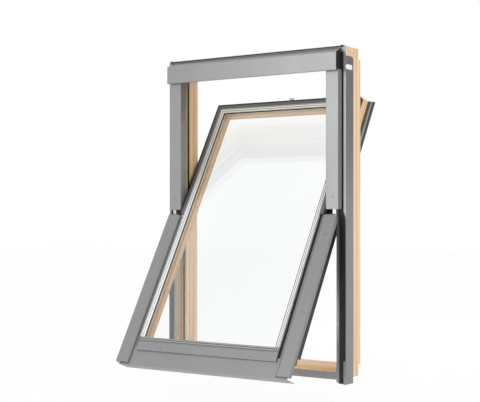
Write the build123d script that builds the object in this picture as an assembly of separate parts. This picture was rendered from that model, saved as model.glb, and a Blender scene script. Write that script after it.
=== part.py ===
"""Centre-pivot roof window, 780 x 1180 mm, with the sash swung part way open.

Everything is in millimetres. X runs across the window, +Y points from the weather side
into the room and +Z runs up the roof slope. The sash is drawn shut and then swung open
about its pivot. While drawing, Y = 0 is the front plane of the side skirts and Z = 0 the
underside of the wooden sill; the finished pieces are moved so that the origin lies at the
centre of the sill's underside.
"""

import os
from math import cos, radians, sin

from build123d import *

# Outer frame
frame_width = 780.0
frame_height = 1155.0
side_depth = 105.0
rail_depth = 90.0
sill_height = 40.0
head_height = 38.0
side_thickness = 56.0
side_front_thickness = 29.0
rebate_depth = 36.0
wood_edge_radius = 1.5
sill_ledge = 17.0
sill_upstand_y = 46.0
sill_upstand_z = 29.0
sill_back_rise = 2.0

# Gaps between the shut sash and the frame
sash_gap = 13.0
sash_top_gap = 44.0
sash_bottom = 24.0

# Clearances
running_clearance = 0.1
side_clearance = 0.3
hinge_clearance = 0.3

# Sheet metal skins
skirt_sheet = 1.0
cover_sheet = 1.2
bend_radius = 1.6
skirt_depth = 51.4
skirt_flange = 10.0
skirt_drop = 22.0
skirt_rise = 5.0
skirt_corner_cut = 9.0
skirt_foot = 10.0
sill_strip_drop = 7.0
sill_strip_hem = 12.0

# Side covers on the weather side
cover_front = -20.7
frame_cover_overlap = 11.0
frame_cover_reveal = 1.0
frame_cover_lap = 4.5
frame_cover_return = 27.0
cover_step_depth = 12.5
cover_step_width = 5.6
sash_cover_overlap = 10.0
sash_cover_lap = 3.0
sash_cover_bottom = -43.0
sash_cover_flange = 17.0
cover_corner_cut = 7.0
cover_foot = 8.5
cover_bevel_width = 7.0
cover_bevel_depth = 4.5
cover_hem = 5.0
cover_hem_lean = 0.6
cover_end_depth = 8.0

# Where the covers meet at the pivot, above and below its axis
frame_cover_above_pivot = 1.0
sash_cover_below_pivot = 16.5

# Top casing
casing_end_gap = 18.0
casing_front = -38.0
casing_drop = 47.5
casing_shoulder_drop = 22.0
casing_slope = 17.5
casing_lip = 7.5
casing_return = 9.0
head_plate_sheet = 1.2
head_plate_drop = 19.0
head_tab_drop = 32.0
cap_thickness = 3.0
cap_notch = 3.0
cap_boss_radius = 5.0
cap_socket_radius = 2.6
cap_boss_front = -22.0
cap_boss_rise = 38.5
lip_seal_thickness = 1.8
lip_seal_height = 4.3
lip_seal_inset = 1.2
lip_block_rise = 1.5

# Clips of the casing on the skirts
casing_clip_rise = 14.0
casing_clip_front = 3.0
casing_clip_back = 42.0
casing_clip_height = 17.0
casing_clip_sheet = 1.0
casing_clip_rib = 0.6
casing_clip_rib_inset = 5.0
casing_clip_rib_height = 3.0
casing_clip_hook_height = 9.0

# Pivot
pivot_y = -21.0
pivot_above_middle = 10.0
open_angle = 30.2
tongue_radius = 45.0
tongue_thickness = 5.0
tongue_start = -5.0
tongue_end = 85.0
tongue_root_end = 44.0
tongue_face_gap = 2.5
hinge_radius = 54.0
hinge_stand_out = 4.0
hinge_groove_depth = 17.0
hinge_groove_angle = 95.0
hinge_core = 12.0
hinge_cut = -15.8
hinge_bolt_radius = 2.6
hinge_bolt_y = 16.0
hinge_bolt_half_spacing = 18.0
hinge_plate_thickness = 3.5
hinge_plate_front = 9.0
hinge_plate_back = 38.0
hinge_plate_half_height = 60.0
hinge_plate_corner = 4.0

# Sash
sash_front = -8.0
sash_back = 42.0
stile_width = 36.0
wood_chamfer = 4.0
horn_front_rise = 3.0
horn_middle_y = 12.0
horn_middle_rise = 11.0
horn_back_rise = 17.0
glass_cover = 13.0
pane_thickness = 4.0
pane_gap = 16.0
glass_front = -12.0
glass_clearance = 0.3
glass_edge_gap = 2.0
spacer_width = 7.0
spacer_inset = 5.7
gasket_thickness = 0.8
gasket_reveal = 4.0
bead_overhang = 1.0
bead_width = 17.0
bead_inner_front = -15.0
bead_outer_front = -18.6
bead_bottom_line = 60.0
trim_front = -19.5
trim_width = 14.0
trim_gap = 1.0
edge_seal_width = 6.0
edge_seal_skin = 0.6
edge_seal_wrap = 9.0
rib_pitch = 4.2
rib_depth = 0.9
rib_width_share = 0.62
rib_groove_end_share = 0.92

# Bottom of the sash
bottom_face_top = 41.0
bottom_face_bottom = 8.5
bottom_face_front = -16.5
bottom_cover_front = -10.5
bottom_cover_bottom = -50.0
bottom_lip_depth = 51.5
bottom_lip_rise = 9.0
foot_notch = 6.0

# Carriers of the covers
cover_clip_height = 24.0
cover_clip_wall = 3.0
cover_clip_depth = 9.0
cover_clip_shares = (0.19, 0.54, 0.91)
carrier_web_gap = 11.0
carrier_web_thickness = 6.0
carrier_web_back = 32.5
carrier_web_bottom = 19.0
carrier_web_below_pivot = 62.5
carrier_block_depth = 13.0
carrier_block_shares = (0.18, 0.56, 0.91)
carrier_foot_depth = 4.0
carrier_foot_back = 6.0

# Seals and rails in the channel between the covers and the skirts
channel_seal_thickness = 1.2
channel_seal_bottom = -20.0
channel_rib_width = 2.0
channel_rib_height = 1.6
flange_seal_below_pivot = 2.5
flange_seal_bottom = 60.0
flange_seal_edge = 1.5
flange_seal_slant = 35.0
channel_rail_inset = 7.0
channel_rail_width = 10.7
channel_rail_bottom = -16.0
channel_rail_sheet = 1.2
seal_groove = 3.0
upper_seal_thickness = 1.6
upper_seal_depth = 12.0
stop_seal_inset = 8.0
stop_seal_width = 6.0
gap_seal_thickness = 1.5

# Rear rails and seals
rear_rail_depth = 20.0
rear_rail_thickness = 6.0
rear_rail_foot = 3.0
rear_seal_depth = 18.0
rear_seal_width = 7.0
rear_seal_tip = 3.0
rear_seal_step = 4.0
rear_gap = 5.0
rear_rail_bottom = 60.0
rear_groove_depth = 10.0
rear_groove_floor = 2.0
rear_gasket_height = 4.0

# Room-side handle and ventilation flap
bar_overhang = 20.0
bar_depth = 12.0
bar_height = 16.0
bar_corner = 4.5
bar_stand_off = 8.0
bar_pivot_y = 52.0
bar_pivot_drop = 9.0
bar_pin_radius = 3.0
bar_hub_radius = 6.0
bracket_inset = 5.0
bracket_width = 28.0
bracket_wall = 4.0
bracket_base = 3.0
bracket_foot = 10.0
flap_end_gap = 29.0
flap_height = 33.0
flap_sheet = 2.0
flap_pivot_y = 34.0
flap_pivot_rise = 4.5
flap_knuckle = 3.5
flap_hem = 4.0
flap_pin_radius = 2.0
lug_width = 6.0

# Latch and its striker plate
latch_y = 12.0
latch_width = 60.0
latch_wall = 4.0
latch_corner = 3.0
latch_travel = 6.0
latch_bolt_width = 16.0
latch_bolt_depth = 8.0
latch_bolt_reach = 24.0
latch_nose = 5.0
latch_nose_depth = 3.0
latch_housing_height = 16.0
striker_thickness = 3.0
striker_width = 64.0
striker_front = 14.0
striker_back = 66.0
striker_slot_width = 28.0
striker_slot_front = 24.0
striker_slot_back = 38.0

# Side bolt, which holds the sash shut, at the ventilation angle or turned over for cleaning
side_bolt_drop = 73.0
side_bolt_radius = 3.0
side_bolt_barrel = 6.0
side_bolt_inset = 6.0
side_bolt_offset = 7.0
side_bolt_foot = 11.0
side_bolt_travel = 20.0
side_bolt_tip = 4.0
knob_length = 6.0
knob_gap = 7.0
knob_round = 1.4
vent_angle = 4.0
cleaning_angle = 155.2
bush_radius = 4.0
bush_depth = 14.0
bush_seat = 3.0

# Fixing holes for installation brackets
fixing_radius = 1.75
fixing_depth = 20.0
fixing_spacing_y = 24.0
fixing_centre_y = 78.0
fixing_end_distance = 127.5
fixing_above_middle = 2.5

# Screws
screw_head_radius = 3.6
screw_head_height = 1.4
screw_head_round = 0.9
screw_slot_half_width = 0.5
screw_slot_half_length = 2.2
screw_slot_floor = 0.8
screw_shank_radius = 1.75
screw_length = 9.0
cover_screw_inset = 13.0
frame_cover_screw_above_pivot = 44.5
sash_cover_screws_below_pivot = (101.5, 395.5)
sill_screw_inset = 54.0
sill_screw_z = 5.0
bottom_screw_inset = 107.0
bottom_screw_z = 19.0

# Widths worked out from those above
wood_front = skirt_sheet
wood_outer = frame_width / 2 - skirt_sheet
opening_half = wood_outer - side_thickness
rebate_half = wood_outer - side_front_thickness
sash_half = opening_half - sash_gap
stile_inner = sash_half - stile_width
glass_half_width = stile_inner + glass_cover
rebate_wall = glass_half_width + glass_edge_gap
bead_inner = stile_inner - bead_overhang
bead_outer = bead_inner + bead_width
trim_outer = bead_outer + trim_width
frame_cover_inner = sash_half + frame_cover_reveal
frame_cover_outer = rebate_half + frame_cover_overlap
sash_cover_inner = sash_half - sash_cover_lap
sash_cover_outer = rebate_half + sash_cover_overlap
casing_half = frame_width / 2 - casing_end_gap
lip_seal_half = frame_width / 2 - skirt_flange
sill_strip_half = rebate_half - side_clearance
carrier_web_inner = opening_half + carrier_web_gap
channel_rail_inner = rebate_half - channel_rail_inset
hinge_face = opening_half - hinge_stand_out
hinge_groove_end = hinge_face + hinge_groove_depth
rear_edge = opening_half - rear_gap
flap_half = stile_inner - flap_end_gap
bracket_place = flap_half - bracket_inset
bar_half = bracket_place + bar_overhang

# Heights worked out
head_bottom = frame_height - head_height
skirt_top = head_bottom + skirt_rise
pivot_z = frame_height / 2 + pivot_above_middle
frame_cover_bottom = pivot_z + frame_cover_above_pivot
sash_cover_top = pivot_z - sash_cover_below_pivot
casing_bottom = head_bottom - casing_drop
casing_shoulder = frame_height - casing_shoulder_drop
casing_back_height = casing_shoulder + casing_slope
casing_top = casing_back_height + casing_lip
frame_cover_top = casing_bottom + frame_cover_lap
head_plate_bottom = frame_height - head_plate_drop
head_tab_bottom = head_bottom - head_tab_drop
lip_seal_high = casing_top - lip_seal_inset
sash_top = head_bottom - sash_top_gap
horn_front_top = sash_top + horn_front_rise
horn_middle_top = sash_top + horn_middle_rise
horn_back_top = sash_top + horn_back_rise
top_rail_line = sash_top - stile_width
bottom_rail_line = bead_bottom_line
bead_top_line = top_rail_line - bead_overhang
bead_top_edge = bead_top_line + bead_width
trim_top_edge = bead_top_edge + trim_width
trim_bottom = sash_cover_top + trim_gap
glass_top = top_rail_line + glass_cover
glass_bottom = bottom_rail_line - glass_cover - glass_edge_gap
carrier_web_top = pivot_z - carrier_web_below_pivot
channel_seal_top = head_plate_bottom - side_clearance
channel_rail_top = pivot_z - hinge_radius - 1
flange_seal_top = pivot_z - flange_seal_below_pivot
rear_top = head_bottom - rear_gap
bar_pivot_z = sash_top - bar_pivot_drop
flap_pivot_z = sash_top + flap_pivot_rise
side_bolt_z = sash_top - side_bolt_drop
fixing_spacing_z = frame_height - 2 * fixing_end_distance
fixing_centre_z = frame_height / 2 + fixing_above_middle

# Depths worked out
cover_back = cover_front + cover_sheet
channel_seal_face = wood_front - channel_seal_thickness
glass_back = glass_front + 2 * pane_thickness + pane_gap
rebate_back = glass_back + glass_clearance
side_bolt_y = sash_back + side_bolt_offset

# Places of the screws, as X and Z
cover_screw_x = rebate_half - cover_screw_inset
sill_screw_x = rebate_half - sill_screw_inset
bottom_screw_x = bead_outer - bottom_screw_inset
frame_cover_screw_places = [(cover_screw_x, pivot_z + frame_cover_screw_above_pivot)]
sash_cover_screw_places = [(cover_screw_x, pivot_z - drop) for drop in sash_cover_screws_below_pivot]
sill_screw_places = [(x, sill_screw_z) for x in (-sill_screw_x, 0.0, sill_screw_x)]
bottom_screw_places = [(x, bottom_screw_z) for x in (-bottom_screw_x, bottom_screw_x)]


def prism_z(points, bottom, top):
    """An upright bar with the given outline in X and Y."""
    outline = make_face(Polyline(*points, close=True))
    return Pos(0, 0, bottom) * extrude(outline, top - bottom)


def prism_x(points, left, right):
    """A bar across the window with the given outline in Y and Z."""
    outline = Plane.YZ * make_face(Polyline(*points, close=True))
    return Pos(left, 0, 0) * extrude(outline, right - left)


def box(x_range, y_range, z_range):
    """A box between the given limits."""
    size = [high - low for low, high in (x_range, y_range, z_range)]
    centre = [(high + low) / 2 for low, high in (x_range, y_range, z_range)]
    return Pos(*centre) * Box(*size)


def folded_sheet(points, thickness):
    """The outline of a sheet folded along the given line, with rounded bends."""
    line = FilletPolyline(*points, radius=bend_radius)
    return make_face(offset(line, thickness, side=Side.LEFT))


def rod_x(y, z, radius, left, right):
    """A round bar along X."""
    circle = Plane.YZ * (Pos(y, z) * Circle(radius))
    return Pos(left, 0, 0) * extrude(circle, right - left)


def rod_y(x, z, radius, front, back):
    """A round bar along Y."""
    return Pos(x, (front + back) / 2, z) * Rot(90, 0, 0) * Cylinder(radius, back - front)


def ring_sector(inner, outer, start, end, left, right):
    """Part of a ring about the pivot axis; angles run from +Y towards +Z."""
    start_in = (inner * cos(radians(start)), inner * sin(radians(start)))
    start_out = (outer * cos(radians(start)), outer * sin(radians(start)))
    end_in = (inner * cos(radians(end)), inner * sin(radians(end)))
    end_out = (outer * cos(radians(end)), outer * sin(radians(end)))
    middle = radians((start + end) / 2)
    edges = [
        Line(start_in, start_out),
        ThreePointArc(start_out, (outer * cos(middle), outer * sin(middle)), end_out),
        Line(end_out, end_in),
        ThreePointArc(end_in, (inner * cos(middle), inner * sin(middle)), start_in),
    ]
    outline = Plane.YZ * make_face(edges)
    return Pos(left, pivot_y, pivot_z) * extrude(outline, right - left)


def ribbed_line(start, end, rib_side):
    """Points of a strip's face between two corners, with fine ribs along it."""
    run = Vector(*end) - Vector(*start)
    count = max(1, round(run.length / rib_pitch))
    step = run / count
    sink = Vector(*rib_side) * rib_depth
    points = []
    for index in range(count):
        corner = Vector(*start) + step * index
        points.append(corner)
        points.append(corner + step * rib_width_share)
        points.append(corner + step * rib_width_share + sink)
        points.append(corner + step * rib_groove_end_share + sink)
    points.append(Vector(*end))
    return [(point.X, point.Y) for point in points]


def screw(x, z, face):
    """A pan-head screw driven in the +Y direction through a face."""
    head = rod_y(x, z, screw_head_radius, face - screw_head_height, face)
    head = fillet(head.faces().sort_by(Axis.Y)[0].edges(), screw_head_round)
    slot = box(
        (x - screw_slot_half_width, x + screw_slot_half_width),
        (face - screw_head_height - 1, face - screw_slot_floor),
        (z - screw_slot_half_length, z + screw_slot_half_length),
    )
    shank = rod_y(x, z, screw_shank_radius, face, face + screw_length)
    return head + shank - slot


def screw_holes(shape, places, face):
    """The shape with a clearance hole for the screw at each place."""
    for x, z in places:
        shape = shape - rod_y(
            x, z, screw_shank_radius + running_clearance, face - 1, face + screw_length + 1
        )
    return shape


def shared_places(shares, low, high):
    """Heights at the given shares of the way between two others."""
    return [low + share * (high - low) for share in shares]


def both_sides(shape):
    """The right-hand shape and its mirror image on the left."""
    return {"right": shape, "left": mirror(shape, about=Plane.YZ)}


# Frame body

def frame_side():
    """One wooden side: a thin front part and a thick back part behind the rebate."""
    points = [
        (rebate_half, wood_front),
        (wood_outer, wood_front),
        (wood_outer, side_depth),
        (opening_half, side_depth),
        (opening_half, rebate_depth),
        (rebate_half, rebate_depth),
    ]
    side = prism_z(points, sill_height, head_bottom)
    inner_edges = side.edges().filter_by(Axis.Z).sort_by(Axis.X)[:2]
    side = fillet(inner_edges, wood_edge_radius)
    for sign_y in (-1, 1):
        for sign_z in (-1, 1):
            y = fixing_centre_y + sign_y * fixing_spacing_y / 2
            z = fixing_centre_z + sign_z * fixing_spacing_z / 2
            side = side - rod_x(y, z, fixing_radius, wood_outer - fixing_depth, wood_outer + 1)
    return side


def swung(y, z, angle):
    """Where a point of the shut sash goes when the sash is opened by an angle."""
    turn = radians(angle)
    dy = y - pivot_y
    dz = z - pivot_z
    return (
        pivot_y + dy * cos(turn) + dz * sin(turn),
        pivot_z - dy * sin(turn) + dz * cos(turn),
    )


def frame_head():
    """The wooden head, which runs through over the sides."""
    points = [
        (wood_front, head_bottom),
        (rail_depth, head_bottom),
        (rail_depth, frame_height),
        (wood_front, frame_height),
    ]
    return prism_x(points, -wood_outer, wood_outer)


def frame_sill():
    """The wooden sill: a low ledge in front, an upstand and a sloping top behind."""
    middle_points = [
        (wood_front, 0),
        (rail_depth, 0),
        (rail_depth, sill_height + sill_back_rise),
        (sill_upstand_y, sill_upstand_z),
        (sill_upstand_y, sill_ledge),
        (wood_front, sill_ledge),
    ]
    middle = prism_x(middle_points, -opening_half, opening_half)
    end_points = [
        (opening_half, rebate_depth),
        (rebate_half, rebate_depth),
        (rebate_half, wood_front),
        (wood_outer, wood_front),
        (wood_outer, rail_depth),
        (opening_half, rail_depth),
    ]
    right_end = prism_z(end_points, 0, sill_height) + box(
        (opening_half, rebate_half), (wood_front, rebate_depth), (0, sill_ledge)
    )
    return middle + right_end + mirror(right_end, about=Plane.YZ)


def skirt():
    """One side skirt: an aluminium angle with a clipped top corner."""
    outer = frame_width / 2
    points = [
        (outer - skirt_flange, 0),
        (outer, 0),
        (outer, skirt_depth),
        (outer - skirt_sheet, skirt_depth),
        (outer - skirt_sheet, skirt_sheet),
        (outer - skirt_flange, skirt_sheet),
    ]
    angle = prism_z(points, -skirt_drop, skirt_top)
    corner = prism_x(
        [
            (skirt_depth - skirt_corner_cut, skirt_top + 1),
            (skirt_depth + 1, skirt_top + 1),
            (skirt_depth + 1, skirt_top - skirt_corner_cut),
        ],
        outer - 2 * skirt_sheet,
        outer + 1,
    )
    foot_return = box(
        (outer - skirt_flange, outer - skirt_sheet),
        (skirt_sheet, skirt_sheet + skirt_foot),
        (-skirt_drop, -skirt_drop + skirt_sheet),
    )
    return angle - corner + foot_return


def sill_strip():
    """The metal strip on the sill's front, hemmed over the ledge."""
    front = wood_front - cover_sheet
    points = [
        (front, -sill_strip_drop),
        (wood_front, -sill_strip_drop),
        (wood_front, sill_ledge),
        (wood_front + sill_strip_hem, sill_ledge),
        (wood_front + sill_strip_hem, sill_ledge + cover_sheet),
        (front, sill_ledge + cover_sheet),
    ]
    strip = prism_x(points, -sill_strip_half, sill_strip_half)
    return screw_holes(strip, sill_screw_places, front)


def top_casing():
    """The cover over the head: front, sloping top, back lip and a bottom return."""
    back = -head_plate_sheet - cover_sheet
    path = [
        (casing_front + casing_return, casing_bottom),
        (casing_front, casing_bottom),
        (casing_front, casing_shoulder),
        (back, casing_back_height),
        (back, casing_top),
    ]
    outline = Plane.YZ * folded_sheet(path[::-1], cover_sheet)
    return extrude(outline, casing_half, both=True)


def casing_cap():
    """The plastic end cap of the top casing, notched over the side cover."""
    half = casing_half
    inset = cover_sheet + side_clearance
    notch_z = frame_cover_top + cap_notch
    notch_y = cover_front - cap_notch
    boss_z = casing_bottom + cap_boss_rise
    points = [
        (casing_front + inset, casing_bottom + inset),
        (casing_front + inset, casing_shoulder - 2),
        (channel_seal_face, casing_shoulder + 2),
        (channel_seal_face, notch_z),
        (notch_y, notch_z),
        (notch_y, casing_bottom + inset),
    ]
    cap = prism_x(points, half - cap_thickness - 1, half - 1)
    boss = rod_x(cap_boss_front, boss_z, cap_boss_radius, half - 1, half + 0.5)
    socket = rod_x(cap_boss_front, boss_z, cap_socket_radius, half - 0.6, half + 1)
    return cap + boss - socket


def head_plate():
    """The flat plate behind the casing, as wide as the skirts."""
    half = frame_width / 2
    plate = box((-half, half), (-head_plate_sheet, 0), (head_plate_bottom, casing_top))
    tab = box(
        (half - skirt_flange, half),
        (-head_plate_sheet, 0),
        (head_tab_bottom, head_plate_bottom),
    )
    return plate + tab + mirror(tab, about=Plane.YZ)


def lip_seal():
    """The black strip along the casing's top lip, with a block at each end."""
    back = -head_plate_sheet - cover_sheet
    front = back - lip_seal_thickness
    low = lip_seal_high - lip_seal_height
    strip = box((-lip_seal_half, lip_seal_half), (front, back), (low, lip_seal_high))
    block = box(
        (casing_half + side_clearance, lip_seal_half),
        (front - 1, -head_plate_sheet),
        (low, casing_top + lip_block_rise),
    )
    return strip + block + mirror(block, about=Plane.YZ)


def casing_clip():
    """The bright bracket that ties the casing to the skirt's side."""
    outer = frame_width / 2
    face = outer + casing_clip_sheet
    middle = casing_bottom + casing_clip_rise
    half = casing_clip_height / 2
    rib_half = casing_clip_rib_height / 2
    hook_half = casing_clip_hook_height / 2
    plate = box((outer, face), (casing_clip_front, casing_clip_back), (middle - half, middle + half))
    rib = box(
        (face, face + casing_clip_rib),
        (casing_clip_front + casing_clip_rib_inset, casing_clip_back - casing_clip_rib_inset),
        (middle - rib_half, middle + rib_half),
    )
    hook = box(
        (outer, face),
        (-head_plate_sheet - casing_clip_sheet, casing_clip_front),
        (middle - hook_half, middle + hook_half),
    )
    return plate + rib + hook


def frame_cover():
    """One fixed cover over the upper half of a side."""
    inner = frame_cover_inner
    outer = frame_cover_outer
    step_y = cover_front + cover_step_depth
    path = [
        (inner, cover_front + frame_cover_return),
        (inner, cover_front),
        (outer, cover_front),
        (outer, step_y),
        (outer + cover_step_width, step_y),
    ]
    outline = folded_sheet(path, cover_sheet)
    cover = Pos(0, 0, frame_cover_bottom) * extrude(
        outline, frame_cover_top - frame_cover_bottom
    )
    return screw_holes(cover, frame_cover_screw_places, cover_front)


def sash_cover():
    """One cover that swings with the lower half of the sash."""
    foot_face = sash_front - cover_sheet
    path = [
        (sash_cover_inner - cover_foot, foot_face),
        (sash_cover_inner, foot_face),
        (sash_cover_inner, cover_front + cover_bevel_depth),
        (sash_cover_inner + cover_bevel_width, cover_front),
        (sash_cover_outer, cover_front),
        (sash_cover_outer, cover_front + sash_cover_flange),
    ]
    outline = folded_sheet(path, cover_sheet)
    straight_top = sash_cover_top - cover_hem
    cover = Pos(0, 0, sash_cover_bottom) * extrude(
        outline, straight_top - sash_cover_bottom
    )
    notch = box(
        (sash_cover_inner - cover_foot - 1, sash_cover_inner + 2 * cover_sheet),
        (bottom_cover_front - 0.5, sash_front + 1),
        (sash_cover_bottom - 1, bottom_face_bottom - foot_notch),
    )
    corner = prism_x(
        [
            (cover_back + 1, straight_top + 1),
            (cover_front + sash_cover_flange + 1, straight_top + 1),
            (cover_front + sash_cover_flange + 1, straight_top - 2 * cover_corner_cut),
        ],
        sash_cover_outer - 2 * cover_sheet,
        sash_cover_outer + 1,
    )
    lean = cover_hem_lean * cover_hem
    hem = prism_x(
        [
            (cover_front, straight_top),
            (cover_front + lean, sash_cover_top),
            (cover_back + lean, sash_cover_top),
            (cover_back, straight_top),
        ],
        sash_cover_inner + cover_bevel_width,
        sash_cover_outer,
    )
    end = box(
        (sash_cover_inner + cover_bevel_width, sash_cover_outer - cover_sheet),
        (cover_back, cover_back + cover_end_depth),
        (sash_cover_bottom, sash_cover_bottom + cover_sheet),
    )
    cover = cover - notch - corner + hem + end
    return screw_holes(cover, sash_cover_screw_places, cover_front)


def frame_cover_clip(z):
    """A plastic clip that carries a fixed cover on the wooden side."""
    back = channel_seal_face
    left = frame_cover_inner + 2 * cover_sheet
    right = frame_cover_outer - 2 * cover_sheet
    floor = cover_back + cover_clip_depth
    half = cover_clip_height / 2
    through = (z - cover_clip_height, z + cover_clip_height)
    block = box((left, right), (cover_back, back), (z - half, z + half))
    under = box((left - 1, rebate_half + 2), (floor, back + 1), through)
    hollow = box(
        (left + cover_clip_wall, right - cover_clip_wall), (floor, back - cover_clip_wall), through
    )
    clip = block - under - hollow
    return screw_holes(clip, frame_cover_screw_places, cover_front)


def cover_carrier():
    """The plastic profile that carries a swinging cover on the stile."""
    left = sash_cover_inner + cover_bevel_width + 2
    right = sash_cover_outer - 2 * cover_sheet
    back = cover_back + carrier_block_depth
    foot = (cover_back + carrier_foot_depth, carrier_foot_back)
    carrier = box(
        (carrier_web_inner, carrier_web_inner + carrier_web_thickness),
        (cover_back, carrier_web_back),
        (carrier_web_bottom, carrier_web_top),
    )
    for z in shared_places(carrier_block_shares, carrier_web_bottom, carrier_web_top):
        height = (z - cover_clip_height / 2, z + cover_clip_height / 2)
        carrier = carrier + box((left, right), (cover_back, back), height)
        carrier = carrier + box((sash_half, left + carrier_foot_depth), foot, height)
    return screw_holes(carrier, sash_cover_screw_places, cover_front)


def channel_seal():
    """The black seal in the channel between the cover and the skirt."""
    face = channel_seal_face
    inner = rebate_half + 1
    outer = frame_width / 2 - skirt_flange
    edge = outer + skirt_flange - flange_seal_edge
    rib_face = face - channel_rib_height
    base = box((inner, outer), (face, wood_front), (channel_seal_bottom, channel_seal_top))
    rib = box(
        (outer - 2 * channel_rib_width, outer - channel_rib_width),
        (rib_face, face),
        (channel_seal_bottom, casing_bottom - 2),
    )
    shield = prism_z(
        [
            (outer, face),
            (outer, 0),
            (edge, 0),
            (edge, face - channel_rib_height / 2),
            (outer + channel_rib_width, rib_face - running_clearance),
            (outer - channel_rib_width, rib_face),
            (outer - channel_rib_width, face),
        ],
        flange_seal_bottom,
        flange_seal_top,
    )
    slant = Plane.XZ * make_face(
        Polyline(
            (outer - 1, flange_seal_top + 1),
            (outer + skirt_flange, flange_seal_top + 1),
            (outer + skirt_flange, flange_seal_top - flange_seal_slant),
            close=True,
        )
    )
    return base + rib + (shield - extrude(slant, 10, both=True))


def channel_rail():
    """The metal flange at the channel's inner side, below the pivot."""
    return box(
        (channel_rail_inner, channel_rail_inner + channel_rail_width),
        (channel_seal_face - channel_rail_sheet, channel_seal_face),
        (channel_rail_bottom, channel_rail_top),
    )


def upper_seal():
    """The black seal on the inner corner of the rebate, above the pivot."""
    return box(
        (opening_half - upper_seal_thickness, opening_half),
        (rebate_depth + upper_seal_thickness, rebate_depth + upper_seal_depth),
        (pivot_z + hinge_radius + 2, head_bottom),
    )


def stop_seal():
    """The black bulb seal on the rebate's face, below the pivot."""
    inner = opening_half + stop_seal_inset
    return box(
        (inner, inner + stop_seal_width),
        (rebate_depth - seal_groove, rebate_depth),
        (sill_height, pivot_z - hinge_radius - 2),
    )


def hinge_housing():
    """The fixed half of the pivot: a half disc with a curved slot about the axis."""
    disc = rod_x(pivot_y, pivot_z, hinge_radius, hinge_face, rebate_half)
    half_plane = box(
        (hinge_face, rebate_half),
        (hinge_cut, pivot_y + hinge_radius),
        (pivot_z - hinge_radius, pivot_z + hinge_radius),
    )
    body = disc & half_plane
    half_thickness = tongue_thickness / 2 + hinge_clearance
    groove = ring_sector(
        tongue_radius - half_thickness,
        tongue_radius + half_thickness,
        -hinge_groove_angle,
        hinge_groove_angle,
        hinge_face - 1,
        hinge_groove_end,
    )
    core = rod_x(pivot_y, pivot_z, tongue_radius - hinge_core, hinge_face - 1, hinge_groove_end)
    housing = body - groove - core
    for z in (pivot_z - hinge_bolt_half_spacing, pivot_z + hinge_bolt_half_spacing):
        housing = housing - rod_x(
            pivot_y + hinge_bolt_y, z, hinge_bolt_radius, hinge_groove_end - 1, rebate_half + 1
        )
    return screw_holes(housing, frame_cover_screw_places, cover_front)


def striker_plate():
    """The latch's striker under the head."""
    low = head_bottom - striker_thickness
    half = striker_width / 2
    slot_half = striker_slot_width / 2
    plate = box((-half, half), (striker_front, striker_back), (low, head_bottom))
    slot = box(
        (-slot_half, slot_half), (striker_slot_front, striker_slot_back), (low - 1, head_bottom + 1)
    )
    return plate - slot


# Sash body

def stile():
    """One upright of the sash, rebated in front for the glass."""
    points = [
        (stile_inner, rebate_back),
        (stile_inner, sash_back - wood_chamfer),
        (stile_inner + wood_chamfer, sash_back),
        (sash_half, sash_back),
        (sash_half, sash_front),
        (rebate_wall, sash_front),
        (rebate_wall, rebate_back),
    ]
    upright = prism_z(points, sash_bottom, horn_back_top)
    over_end = prism_x(
        [
            (sash_front - 1, horn_front_top),
            (sash_front, horn_front_top),
            (horn_middle_y, horn_middle_top),
            (sash_back, horn_back_top),
            (sash_back, horn_back_top + 1),
            (sash_front - 1, horn_back_top + 1),
        ],
        stile_inner - 1,
        sash_half + 1,
    )
    return upright - over_end


def top_rail(stiles):
    """The sash's top rail, coped between the stiles."""
    points = [
        (rebate_back, top_rail_line),
        (sash_back - wood_chamfer, top_rail_line),
        (sash_back, top_rail_line + wood_chamfer),
        (sash_back, sash_top),
        (sash_front, sash_top),
        (sash_front, glass_top + glass_edge_gap),
        (rebate_back, glass_top + glass_edge_gap),
    ]
    rail = prism_x(points, -rebate_wall, rebate_wall)
    return rail - stiles["left"] - stiles["right"]


def bottom_rail(stiles):
    """The sash's bottom rail, coped between the stiles."""
    points = [
        (rebate_back, bottom_rail_line),
        (sash_back - wood_chamfer, bottom_rail_line),
        (sash_back, bottom_rail_line - wood_chamfer),
        (sash_back, sash_bottom),
        (sash_front, sash_bottom),
        (sash_front, glass_bottom - glass_edge_gap),
        (rebate_back, glass_bottom - glass_edge_gap),
    ]
    rail = prism_x(points, -rebate_wall, rebate_wall)
    return rail - stiles["left"] - stiles["right"]


def pane(front):
    """One pane of the sealed glass unit."""
    return box(
        (-glass_half_width, glass_half_width),
        (front, front + pane_thickness),
        (glass_bottom, glass_top),
    )


def spacer():
    """The bar that holds the two panes apart, all round."""
    front = glass_front + pane_thickness
    half = glass_half_width - spacer_inset
    low = glass_bottom + spacer_inset
    high = glass_top - spacer_inset
    outer = box((-half, half), (front, front + pane_gap), (low, high))
    inner = box(
        (-half + spacer_width, half - spacer_width),
        (front - 1, front + pane_gap + 1),
        (low + spacer_width, high - spacer_width),
    )
    return outer - inner


def mitre(shape, inner, corner_z):
    """The shape cut at 45 degrees below the sash's top corner on the right."""
    reach = bead_width + trim_width + edge_seal_width
    foot = corner_z - frame_height
    wedge = Plane.XZ * make_face(
        Polyline(
            (inner, corner_z),
            (inner + reach, corner_z + reach),
            (inner + reach, foot),
            (inner, foot),
            close=True,
        )
    )
    return shape & extrude(wedge, side_depth, both=True)


def mitre_top(shape, inner, corner_z):
    """The shape cut at 45 degrees at both ends, for a strip along the top."""
    reach = bead_width + trim_width + edge_seal_width
    wedge = Plane.XZ * make_face(
        Polyline(
            (-inner, corner_z),
            (inner, corner_z),
            (inner + reach, corner_z + reach),
            (-inner - reach, corner_z + reach),
            close=True,
        )
    )
    return shape & extrude(wedge, side_depth, both=True)


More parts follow.
